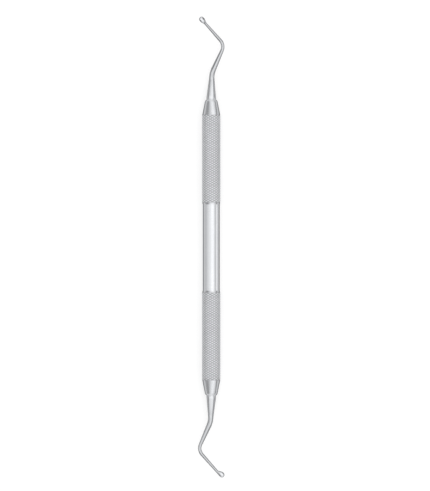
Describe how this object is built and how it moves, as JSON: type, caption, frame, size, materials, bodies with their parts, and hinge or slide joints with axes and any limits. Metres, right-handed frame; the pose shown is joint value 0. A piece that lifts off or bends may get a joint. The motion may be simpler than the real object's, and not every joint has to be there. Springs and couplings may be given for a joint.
{
  "type": "dental spoon excavator",
  "caption": "Double-ended dental spoon excavator with a knurled round steel handle and an angled shank with a small spoon at each end.",
  "frame": {"origin": "the middle of the handle, on its axis", "axes": "+Y along the handle towards the upper tip, +Z the way the bowl of the upper spoon opens, +X to the side that the upper shank bends to first; both shanks are bent in the XY plane"},
  "size_m": [0.0098, 0.1699, 0.0068],
  "materials": {
    "handle_steel": "satin, with a diamond knurl on two bands",
    "tip_steel": "fine polish"
  },
  "bodies": {
    "root": {"handle": "handle_steel", "upper_tip": "tip_steel", "lower_tip": "tip_steel"}
  },
  "joints": []
}
